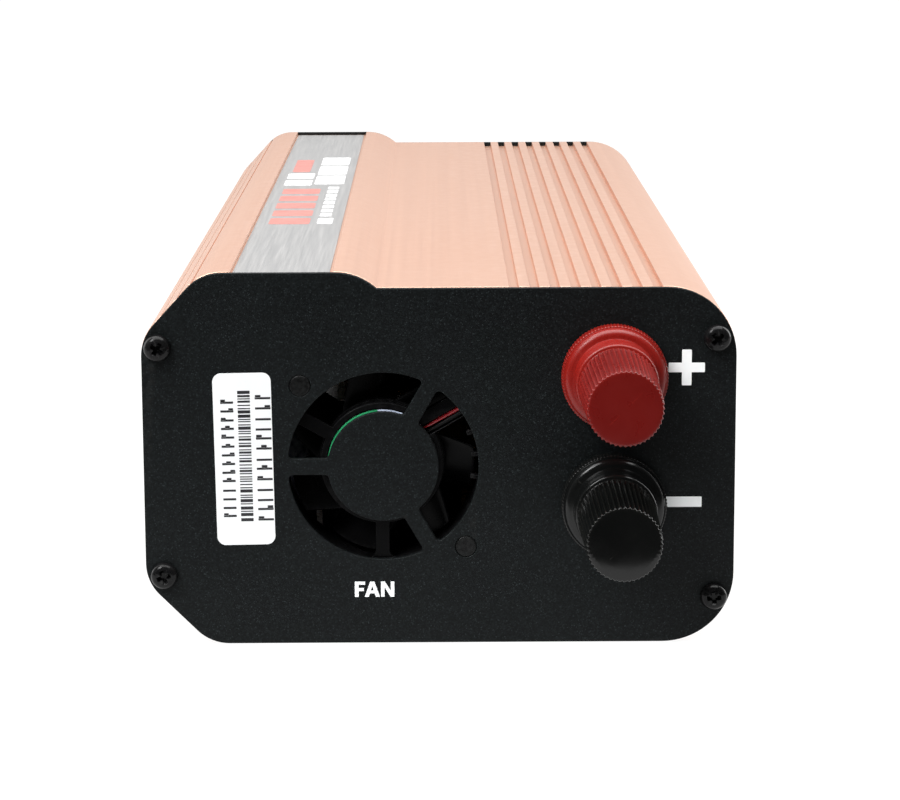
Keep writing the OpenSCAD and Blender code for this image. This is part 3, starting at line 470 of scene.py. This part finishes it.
def turned(profile, segments, teeth=0, closed=False):
    """Turned solid about +Z from (radius, height, tooth depth) points, in mm.

    A point on the axis becomes a pole and an open end a flat face. With closed, the last point
    joins the first.
    """
    bm = bmesh.new()
    rings = []
    for radius, height, depth in profile:
        if radius == 0:
            rings.append([bm.verts.new((0, 0, height * MM))])
            continue
        ring = []
        for k in range(segments):
            turn = k / segments
            crest = (0.5 + 0.5 * math.cos(2 * math.pi * teeth * turn)) ** 1.4
            reach = (radius - depth * (1 - crest)) * MM
            angle = 2 * math.pi * turn
            ring.append(bm.verts.new((reach * math.cos(angle), reach * math.sin(angle),
                                      height * MM)))
        rings.append(ring)
    pairs = list(zip(rings, rings[1:]))
    if closed:
        pairs.append((rings[-1], rings[0]))
    else:
        for ring in (rings[0], rings[-1]):
            if len(ring) > 1:
                bm.faces.new(ring)
    for first, second in pairs:
        for k in range(segments):
            j = (k + 1) % segments
            corners = ([first[0]] if len(first) == 1 else [first[k], first[j]])
            corners += ([second[0]] if len(second) == 1 else [second[j], second[k]])
            bm.faces.new(corners)
    return bm


def arc(cx, cz, r, start, end, steps):
    """Toothless profile points along an arc, angles in degrees."""
    points = []
    for k in range(steps + 1):
        a = math.radians(start + (end - start) * k / steps)
        points.append((cx + r * math.cos(a), cz + r * math.sin(a), 0))
    return points


def joined(parts):
    """Several bmeshes as one."""
    whole = bmesh.new()
    for part in parts:
        mesh = bpy.data.meshes.new("part")
        part.to_mesh(mesh)
        part.free()
        whole.from_mesh(mesh)
        bpy.data.meshes.remove(mesh)
    return whole


def flat_shape(name, loops, lift, place):
    """Thin printed or cut shape: 2D loops in mm (inner loops are holes), lift mm thick."""
    curve = bpy.data.curves.new(name, "CURVE")
    curve.dimensions = "2D"
    curve.fill_mode = "BOTH"
    curve.extrude = lift * MM / 2
    for loop in loops:
        spline = curve.splines.new("POLY")
        spline.points.add(len(loop) - 1)
        for point, (x, y) in zip(spline.points, loop):
            point.co = (x * MM, y * MM, 0, 1)
        spline.use_cyclic_u = True
    ghost = bpy.data.objects.new(name + "_outline", curve)
    bpy.context.scene.collection.objects.link(ghost)
    graph = bpy.context.evaluated_depsgraph_get()
    mesh = bpy.data.meshes.new_from_object(ghost.evaluated_get(graph))
    bpy.data.objects.remove(ghost)
    bm = bmesh.new()
    bm.from_mesh(mesh)
    bpy.data.meshes.remove(mesh)
    bmesh.ops.remove_doubles(bm, verts=bm.verts, dist=1e-6)
    rise = Matrix.Translation((0, 0, lift * MM / 2))
    return from_bmesh(name, bm, place @ rise, degrees=30)


def rectangle(x, y, w, h, r=0.0):
    """Loop of a centred rectangle with round corners."""
    if r == 0:
        return [(x - w / 2, y - h / 2), (x + w / 2, y - h / 2), (x + w / 2, y + h / 2),
                (x - w / 2, y + h / 2)]
    loop = []
    for sx, sy, start in ((1, 1, 0), (-1, 1, 90), (-1, -1, 180), (1, -1, 270)):
        for k in range(5):
            a = math.radians(start + 22.5 * k)
            loop.append((x + sx * (w / 2 - r) + r * math.cos(a),
                         y + sy * (h / 2 - r) + r * math.sin(a)))
    return loop


# ---------------------------------------------------------------- terminals

KNOB_RIDGES = 48


def knob(node, centre):
    """Ridged knob: rounded ridges that run out at a lightly domed face; bored for its insert."""
    low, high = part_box(node)
    face = (PANEL_Y - low.y) / MM
    foot = (PANEL_Y - high.y) / MM
    deep = 0.52
    profile = [(1.5, face, 0), (3.0, face - 0.008, 0), (4.5, face - 0.022, 0),
               (5.8, face - 0.045, 0), (6.5, face - 0.070, 0), (6.85, face - 0.11, 0.08),
               (7.03, face - 0.22, 0.20), (7.10, face - 0.42, 0.28), (7.12, face - 1.0, 0.36)]
    for k in range(1, 9):
        share = k / 9
        profile.append((7.13 + 0.45 * share, face - 1.0 - (face - foot - 2.2) * share,
                        min(deep, 0.36 + 0.5 * share)))
    profile += [(7.58, foot + 1.15, deep), (7.55, foot + 0.85, 0.32), (7.35, foot + 0.55, 0.22),
                (7.05, foot + 0.35, 0.12), (6.95, foot + 0.10, 0), (6.85, foot, 0),
                (5.75, foot, 0), (5.62, foot + 0.15, 0), (5.62, foot + 13.6, 0),
                (4.5, foot + 14.4, 0), (4.3, foot + 15.2, 0)]
    bm = turned(profile, KNOB_RIDGES * 10, KNOB_RIDGES)
    obj = from_bmesh(node + "_part", bm, front_place(centre.x, centre.z), degrees=42)
    for facet in obj.data.polygons:
        if len(facet.vertices) > 4:
            facet.use_smooth = False
    return stands_for(obj, node)


def collar(node, centre, material):
    """Insulating collar: finely toothed rim, glossy domed flange and raised seat ring."""
    teeth = 96
    profile = [(10.05, 0, 0), (10.25, 0.15, 0.12), (10.30, 0.5, 0.16), (10.30, 2.9, 0.16),
               (10.24, 3.22, 0.12), (10.10, 3.36, 0.03), (9.90, 3.40, 0)]
    profile += arc(8.42, 3.60, 1.42, 0, 84, 12)
    profile += [(8.28, 5.06, 0), (8.08, 5.12, 0), (8.0, 5.26, 0),
                (7.96, 7.6, 0), (7.92, 9.9, 0)]
    profile += arc(7.42, 10.40, 0.50, 5, 90, 8)
    profile += [(7.22, 10.92, 0), (7.10, 11.02, 0), (6.98, 11.0, 0),
                (6.9, 10.9, 0), (6.85, 9.55, 0), (6.7, 9.5, 0), (4.2, 9.5, 0),
                (4.1, 9.4, 0), (4.1, 0.1, 0), (4.2, 0, 0)]
    bm = turned(profile, teeth * 6, teeth, closed=True)
    obj = from_bmesh(node + "_part", bm, front_place(centre.x, centre.z), degrees=38)
    return stands_for(obj, node, material)


# ---------------------------------------------------------------- screws

def tapered_slot(top, long_top, long_foot, wide_top, wide_foot, depth):
    """Cutter for one arm of a cross recess, from top down by depth."""
    bm = bmesh.new()
    rows = []
    for z, w, t in ((top + 0.4, long_top, wide_top), (top - depth, long_foot, wide_foot)):
        rows.append([bm.verts.new((sx * w / 2 * MM, sy * t / 2 * MM, z * MM))
                     for sx, sy in ((-1, -1), (1, -1), (1, 1), (-1, 1))])
    bm.faces.new(rows[0])
    bm.faces.new(rows[1][::-1])
    for k in range(4):
        j = (k + 1) % 4
        bm.faces.new((rows[0][k], rows[1][k], rows[1][j], rows[0][j]))
    return bm


def pan_head_mesh():
    """One pan head screw with a tapered cross recess, seat at Z = 0."""
    shank = [(1.3, -9.3, 0), (0.8, -10, 0), (0, -10, 0)]
    head = [(0, 2.0, 0), (0.7, 1.97, 0), (1.3, 1.88, 0), (1.8, 1.71, 0), (2.2, 1.44, 0),
            (2.48, 1.10, 0), (2.63, 0.72, 0), (2.69, 0.35, 0), (2.66, 0.10, 0), (2.55, 0, 0),
            (1.35, 0, 0), (1.3, -0.1, 0)]
    threads = []
    for k in range(20):
        z = -0.5 - 0.44 * k
        threads += [(1.29, z, 0), (1.12, z - 0.22, 0)]
    body = from_bmesh("screw_blank", turned(head + threads + shank, 48), degrees=35)
    for turn in (0, 90):
        cutter = from_bmesh("cutter", tapered_slot(2.0, 3.5, 1.5, 1.0, 0.66, 1.3),
                            Matrix.Rotation(math.radians(turn), 4, "Z"))
        cut = body.modifiers.new("cut", "BOOLEAN")
        cut.operation = "DIFFERENCE"
        cut.solver = "EXACT"
        cut.object = cutter
        applied(body)
        bpy.data.objects.remove(cutter)
    round_off = body.modifiers.new("ease", "BEVEL")
    round_off.width = 0.07 * MM
    round_off.segments = 2
    round_off.limit_method = "ANGLE"
    round_off.angle_limit = math.radians(32)
    applied(body)
    mesh = body.data
    bpy.data.objects.remove(body)
    return mesh


def screws(node, place_at, turns):
    """The four screws of one end panel, each at the middle of its CAD solid."""
    half_way = 35 * MM
    spots = []
    bm = bmesh.new()
    bm.from_mesh(NODES[node].data)
    bmesh.ops.remove_doubles(bm, verts=bm.verts, dist=WELD)
    for sx in (-1, 1):
        for upper in (False, True):
            group = [v.co for v in bm.verts if (v.co.x > 0) == (sx > 0)
                     and (v.co.z > half_way) == upper]
            xs, zs = [c.x for c in group], [c.z for c in group]
            spots.append(((min(xs) + max(xs)) / 2, (min(zs) + max(zs)) / 2))
    bm.free()
    blank = pan_head_mesh()
    parts = []
    for (x, z), turn in zip(spots, turns):
        part = bmesh.new()
        part.from_mesh(blank)
        spin = Matrix.Rotation(math.radians(turn), 4, "Z")
        bmesh.ops.transform(part, matrix=place_at(x, z) @ spin, verts=part.verts)
        parts.append(part)
    obj = from_bmesh(node + "_part", joined(parts), degrees=35)
    return stands_for(obj, node)


# ---------------------------------------------------------------- fan

BLADES = 7


def blade(hub, tip, deep, turn):
    """One cambered, twisted fan blade about +Z, 0 to deep mm along Z."""
    bm = bmesh.new()
    across, along = 9, 12
    grid = []
    for i in range(across):
        u = i / (across - 1)
        radius = hub - 0.3 + (tip - hub + 0.3) * u
        row = []
        for j in range(along):
            v = j / (along - 1)
            lead = 0.9 - 0.18 * u
            sweep = lead * (v - 0.5) + 0.16 * u + 0.16 * math.sin(math.pi * v)
            angle = turn + sweep * 12.5 / radius
            height = deep * (0.06 + 0.88 * v)
            row.append(bm.verts.new((radius * MM * math.cos(angle),
                                     radius * MM * math.sin(angle), height * MM)))
        grid.append(row)
    for i in range(across - 1):
        for j in range(along - 1):
            bm.faces.new((grid[i][j], grid[i + 1][j], grid[i + 1][j + 1], grid[i][j + 1]))
    return bm


def rotor():
    """Cup-shaped fan hub with seven blades, open towards the stator."""
    low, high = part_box("fan_rotor")
    deep = (high.y - low.y) / MM
    tip = (high.x - low.x) / 2 / MM
    hub, inner = 12.2, 11.2
    profile = [(hub, 0.2, 0), (hub, deep - 1.0, 0)]
    profile += arc(hub - 0.9, deep - 0.9, 0.9, 0, 90, 6)
    profile += [(2.2, deep, 0), (2.0, deep - 0.1, 0), (1.0, deep - 0.1, 0),
                (1.0, deep - 0.7, 0), (inner - 0.3, deep - 1.0, 0), (inner, deep - 1.3, 0),
                (inner, 0.15, 0), (inner + 0.15, 0, 0), (hub - 0.2, 0, 0)]
    cup = turned(profile, 96, closed=True)
    blades = []
    for k in range(BLADES):
        obj = from_bmesh("blade", blade(hub, tip - 0.02, deep, 2 * math.pi * k / BLADES))
        thick = obj.modifiers.new("thick", "SOLIDIFY")
        thick.thickness = 0.75 * MM
        thick.offset = 0
        soft = obj.modifiers.new("soft", "BEVEL")
        soft.width = 0.2 * MM
        soft.segments = 2
        soft.angle_limit = math.radians(50)
        applied(obj)
        part = bmesh.new()
        part.from_mesh(obj.data)
        bpy.data.objects.remove(obj)
        blades.append(part)
    back = Matrix(((1, 0, 0, 0), (0, 0, 1, 0), (0, -1, 0, 0), (0, 0, 0, 1)))
    place = Matrix.Translation((FAN.x, low.y, FAN.z)) @ back
    obj = from_bmesh("fan_rotor_part", joined([cup] + blades), place, degrees=40)
    return stands_for(obj, "fan_rotor")


def sticker():
    """Round sticker in the hub's recess, its edge rolled down."""
    low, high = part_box("fan_sticker")
    r, t = (high.x - low.x) / 2 / MM, (high.y - low.y) / MM
    profile = [(0, t, 0), (r * 0.5, t, 0), (r - 0.25, t, 0), (r - 0.08, t - 0.03, 0),
               (r, t - 0.08, 0), (r, 0.02, 0), (r - 0.1, 0, 0), (0, 0, 0)]
    place = front_place(FAN.x, FAN.z)
    place.translation.y = high.y
    obj = from_bmesh("fan_sticker_part", turned(profile, 128), place, degrees=50)
    return stands_for(obj, "fan_sticker")


# ---------------------------------------------------------------- prints

def marks():
    """Plus and minus signs and the plain word at the fan, printed on the front panel."""
    lift, letter_size = 0.04, 0.96
    arm, thick, r = 3.5, 0.94, 0.12
    plus = []
    for k in range(4):
        c, s = (1, 0, -1, 0)[k], (0, 1, 0, -1)[k]
        for x, y in ((thick, -thick), (arm - r, -thick), (arm, r - thick), (arm, thick - r),
                     (arm - r, thick)):
            plus.append((x * c - y * s, x * s + y * c))
    mark = flat_shape("mark_plus", [plus], lift, front_place(47.78 * MM, 54.68 * MM))
    dress(mark, "case", "white_label", "ink_white")
    minus = [rectangle(0, 0, 7.0, 2.05, 0.12)]
    mark = flat_shape("mark_minus", minus, lift, front_place(47.45 * MM, 28.15 * MM))
    dress(mark, "case", "white_label", "ink_white")
    letter_f = [(0, 0), (0.78, 0), (0.78, 1.22), (1.85, 1.22), (1.85, 1.86), (0.78, 1.86),
                (0.78, 2.55), (2.1, 2.55), (2.1, 3.2), (0, 3.2)]
    letter_a = [(0, 0), (0.80, 0), (1.05, 0.72), (2.02, 0.72), (2.27, 0), (3.1, 0),
                (1.96, 3.2), (1.13, 3.2)]
    hole_a = [(1.25, 1.32), (1.54, 2.30), (1.83, 1.32)]
    letter_n = [(0, 0), (0.72, 0), (0.72, 2.02), (1.95, 0), (2.72, 0), (2.72, 3.2),
                (2.0, 3.2), (2.0, 1.22), (0.80, 3.2), (0, 3.2)]
    loops = []
    for shape, dx in ((letter_f, -4.0), (letter_a, -1.98), (hole_a, -1.98), (letter_n, 1.33)):
        loops.append([(letter_size * (x + dx), letter_size * (y - 1.6)) for x, y in shape])
    mark = flat_shape("mark_fan", loops, lift, front_place(-12.83 * MM, 10.93 * MM))
    dress(mark, "case", "white_label", "ink_white")


def serial_print():
    """Plain bars between two columns of small blocks that spell nothing, on the white label."""
    rng, lift, tilt = random.Random(11), 0.02, 0.85
    centre = middle("serial_label")
    low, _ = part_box("serial_label")
    place = front_place(centre.x, centre.z)
    place.translation.y = low.y
    place = place @ Matrix.Rotation(math.radians(tilt), 4, "Z")
    bars, y = [], -12.3
    while y < 13.0:
        wide = rng.choice((0.22, 0.22, 0.42, 0.62))
        bars.append(rectangle(0.3, y + wide / 2, 2.4, wide))
        y += wide + rng.choice((0.22, 0.22, 0.42))
    dress(flat_shape("serial_bars", bars, lift, place), "case", "white_label", "ink_black")
    blocks = []
    for x, tall, start, end, pitch in ((-3.0, 2.5, -11.7, 12.4, 1.72),
                                       (3.95, 3.0, -12.6, 13.4, 2.0)):
        y = start
        while y < end - 0.4:
            wide = pitch * rng.choice((0.45, 0.6, 0.68, 0.68))
            blocks.append(rectangle(x, y + wide / 2, tall, 0.42, 0.05))
            if wide > pitch * 0.5:
                blocks.append(rectangle(x + rng.choice((-0.3, 0, 0.3)) * tall, y + wide * 0.8,
                                        tall * 0.36, wide * 0.45, 0.05))
            y += pitch
    dress(flat_shape("serial_blocks", blocks, lift, place), "case", "white_label", "ink_black")


def nameplate_print():
    """Plain red and white blocks on the top label."""
    low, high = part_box("nameplate_label")
    place = Matrix.Translation(((low.x + high.x) / 2, 0, high.z))
    y0, lift = low.y / MM, 0.02
    red = [rectangle(-2.2, y0 + 82 + 14.3 * k, 9.0, 10.8, 1.0) for k in range(5)]
    red += [rectangle(-4.2, y0 + 197, 4.5, 30, 1.2)]
    dress(flat_shape("nameplate_red", red, lift, place), "case", "nameplate", "ink_red")
    white = [rectangle(5.6, y0 + 82, 3.4, 10.0, 0.5)]
    white += [rectangle(5.3, y0 + 93 + 7.6 * k, 2.6, 5.6, 0.4) for k in range(8)]
    white += [rectangle(-3.8, y0 + 158 + 15 * k, 6.7, 12, 0.8) for k in range(2)]
    white += [rectangle(3.85, y0 + 164 + 22 * k, 7.3, 19.5, 1.0) for k in range(3)]
    dress(flat_shape("nameplate_white", white, lift, place), "case", "nameplate", "ink_pale")


# ---------------------------------------------------------------- studio

def make_camera():
    """At the photograph's viewing angle: distances in mm before the panel, angles in degrees."""
    lens, distance, height, across = 115.52, 548.27, 151.91, -0.48
    yaw, pitch, roll = (math.radians(a) for a in (0.268, 10.681, -0.2213))
    ahead = Vector((math.sin(yaw) * math.cos(pitch), math.cos(yaw) * math.cos(pitch),
                    -math.sin(pitch)))
    right = Vector((math.cos(yaw), -math.sin(yaw), 0))
    up = right.cross(ahead)
    right, up = (right * math.cos(roll) + up * math.sin(roll),
                 up * math.cos(roll) - right * math.sin(roll))
    data = bpy.data.cameras.new("camera")
    data.sensor_width, data.lens = 36, lens
    data.clip_start, data.clip_end = 0.01, 50
    camera = bpy.data.objects.new("camera", data)
    bpy.context.scene.collection.objects.link(camera)
    turn = Matrix((right, up, -ahead)).transposed().to_4x4()
    spot = Vector((across * MM, PANEL_Y - distance * MM, height * MM))
    camera.matrix_world = Matrix.Translation(spot) @ turn
    bpy.context.scene.camera = camera


def softbox(name, spot, target, size, watts, glossy=True):
    """Area light in metres and watts; without glossy it gives no reflections."""
    data = bpy.data.lights.new(name, "AREA")
    data.shape = "RECTANGLE"
    data.size, data.size_y = size
    data.energy = watts
    light = bpy.data.objects.new(name, data)
    bpy.context.scene.collection.objects.link(light)
    light.location = spot
    light.visible_glossy = glossy
    light.rotation_mode = "QUATERNION"
    light.rotation_quaternion = (Vector(target) - Vector(spot)).to_track_quat("-Z", "Y")


def make_world():
    """White backdrop; the light that it gives is bright overhead and behind, dim in front."""
    world = bpy.data.worlds.new("studio")
    bpy.context.scene.world = world
    world.use_nodes = True
    tree = world.node_tree
    tree.nodes.clear()
    out = tree.nodes.new("ShaderNodeOutputWorld")
    pick = tree.nodes.new("ShaderNodeMixShader")
    seen = tree.nodes.new("ShaderNodeBackground")
    seen.inputs["Color"].default_value = (1, 1, 1, 1)
    seen.inputs["Strength"].default_value = 1.05
    given = tree.nodes.new("ShaderNodeBackground")
    given.inputs["Color"].default_value = (1, 1, 1, 1)
    path = tree.nodes.new("ShaderNodeLightPath")
    coords = tree.nodes.new("ShaderNodeTexCoord")
    split = tree.nodes.new("ShaderNodeSeparateXYZ")
    depth = tree.nodes.new("ShaderNodeMapRange")
    depth.inputs["From Min"].default_value = -0.35
    depth.inputs["From Max"].default_value = 0.45
    depth.inputs["To Min"].default_value = 0.04
    depth.inputs["To Max"].default_value = 0.70
    tree.links.new(coords.outputs["Generated"], split.inputs[0])
    tree.links.new(split.outputs["Y"], depth.inputs["Value"])
    tree.links.new(depth.outputs[0], given.inputs["Strength"])
    tree.links.new(path.outputs["Is Camera Ray"], pick.inputs[0])
    tree.links.new(given.outputs[0], pick.inputs[1])
    tree.links.new(seen.outputs[0], pick.inputs[2])
    tree.links.new(pick.outputs[0], out.inputs[0])


def make_studio():
    bpy.context.scene.view_settings.view_transform = "Standard"
    make_world()
    softbox("top", (0.0, -0.10, 0.95), (0, 0.02, 0.05), (1.1, 0.9), 15)
    softbox("upper_left", (-0.55, -0.55, 0.75), (0.03, -0.13, 0.04), (0.32, 0.32), 4.5)
    softbox("front_fill", (-0.50, -0.60, 0.72), (0.03, -0.13, 0.04), (0.70, 0.70), 10.0, False)
    softbox("right_rim", (0.75, 0.25, 0.45), (0, 0.0, 0.05), (0.4, 0.9), 6.5)
    softbox("left_rim", (-0.75, 0.25, 0.45), (0, 0.0, 0.05), (0.4, 0.9), 3.0)
    bm = bmesh.new()
    near, far, side = -0.250, 0.75, 1.2
    corners = [(-side, near, 0), (side, near, 0), (side, far, 0), (-side, far, 0)]
    bm.faces.new([bm.verts.new(c) for c in corners])
    floor = from_bmesh("floor", bm)
    floor.data.materials.append(MATERIALS["floor_paper"])


# ---------------------------------------------------------------- assembly

EASED = {
    "top_shell": 0.12, "bottom_shell": 0.12, "front_panel": 0.16, "rear_panel": 0.16,
    "nameplate_label": 0.03, "serial_label": 0.03, "fan_frame": 0.14, "fan_bearing": 0.12,
    "fan_stator": 0.12, "fan_magnet": 0.12, "fan_shaft": 0.12,
    "fan_nuts": 0.20, "terminal_bushes": 0.15, "terminal_studs": 0.25, "terminal_nuts": 0.30,
    "terminal_lugs": 0.12, "positive_washer": 0.10, "positive_insert": 0.12,
    "negative_washer": 0.10, "negative_insert": 0.12, "main_board": 0.15,
    "input_fuses": 0.25, "input_capacitors": 0.35, "transformer_cores": 0.40,
    "transformer_windings": 0.30, "transformer_bobbins": 0.25, "input_transistors": 0.12,
    "output_transistors": 0.12, "insulating_pads": 0.05, "heat_spreaders": 0.25,
    "transistor_clamps": 0.20, "clamp_screws": 0.08, "bus_capacitors": 0.35,
    "driver_board": 0.12, "choke_core": 0.60, "choke_winding": 0.25, "ac_outlets": 0.35,
    "outlet_contacts": 0.06, "switch_body": 0.20, "switch_terminals": 0.10,
    "switch_rocker": 0.25, "usb_socket": 0.08, "usb_insert": 0.10, "power_led": 0.08,
    "fault_led": 0.08,
}

make_camera()
make_materials()
make_studio()
for name, width in EASED.items():
    eased(name, width)
eased("fan_studs", 0.24, "stud_head")
for name in ("fan_lead_red", "fan_lead_black", "positive_lead", "negative_lead", "ac_wires"):
    rounded_lead(name)
knob("positive_knob", POSITIVE)
knob("negative_knob", NEGATIVE)
collar("positive_collar", POSITIVE, "red_collar")
collar("negative_collar", NEGATIVE, "black_collar")
screws("front_panel_screws", front_place, (20, 57, 94, 131))
screws("rear_panel_screws", rear_place, (10, 41, 72, 103))
rotor()
sticker()
marks()
serial_print()
nameplate_print()
